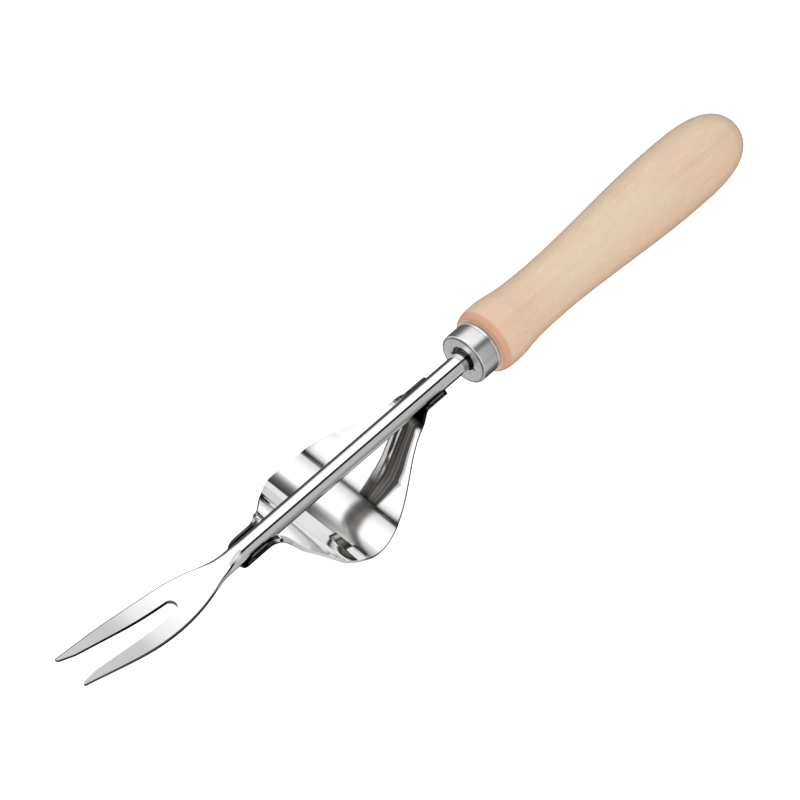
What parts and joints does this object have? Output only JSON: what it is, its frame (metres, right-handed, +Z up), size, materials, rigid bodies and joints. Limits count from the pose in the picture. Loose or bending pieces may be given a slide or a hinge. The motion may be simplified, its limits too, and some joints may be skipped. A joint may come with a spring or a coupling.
{
  "type": "hand weeder",
  "caption": "Forked hand weeder: a flat two-tined steel fork on a round shaft, a leaf-shaped leverage plate with a round trough under it, a steel ferrule and a turned wooden handle.",
  "frame": {"origin": "on the ground under the middle of the tool's length, with the lowest line of the leverage plate touching the ground", "axes": "+X along the shaft from the tines to the handle, +Y across the tool, +Z up, with the leverage plate below the shaft"},
  "size_m": [0.321, 0.0456, 0.0375],
  "materials": {
    "polished_steel": "polished stainless steel",
    "mirror_sheet_steel": "mirror-polished stainless steel sheet",
    "satin_steel": "satin stainless steel",
    "weld_steel": "bare weld metal",
    "beech": "sanded pale beech, satin"
  },
  "bodies": {
    "root": {"fork_shaft": "polished_steel", "fulcrum_plate": "mirror_sheet_steel", "weld_front_left": "weld_steel", "weld_front_right": "weld_steel", "weld_rear_left": "weld_steel", "weld_rear_right": "weld_steel", "ferrule": "satin_steel", "handle": "beech"}
  },
  "joints": []
}
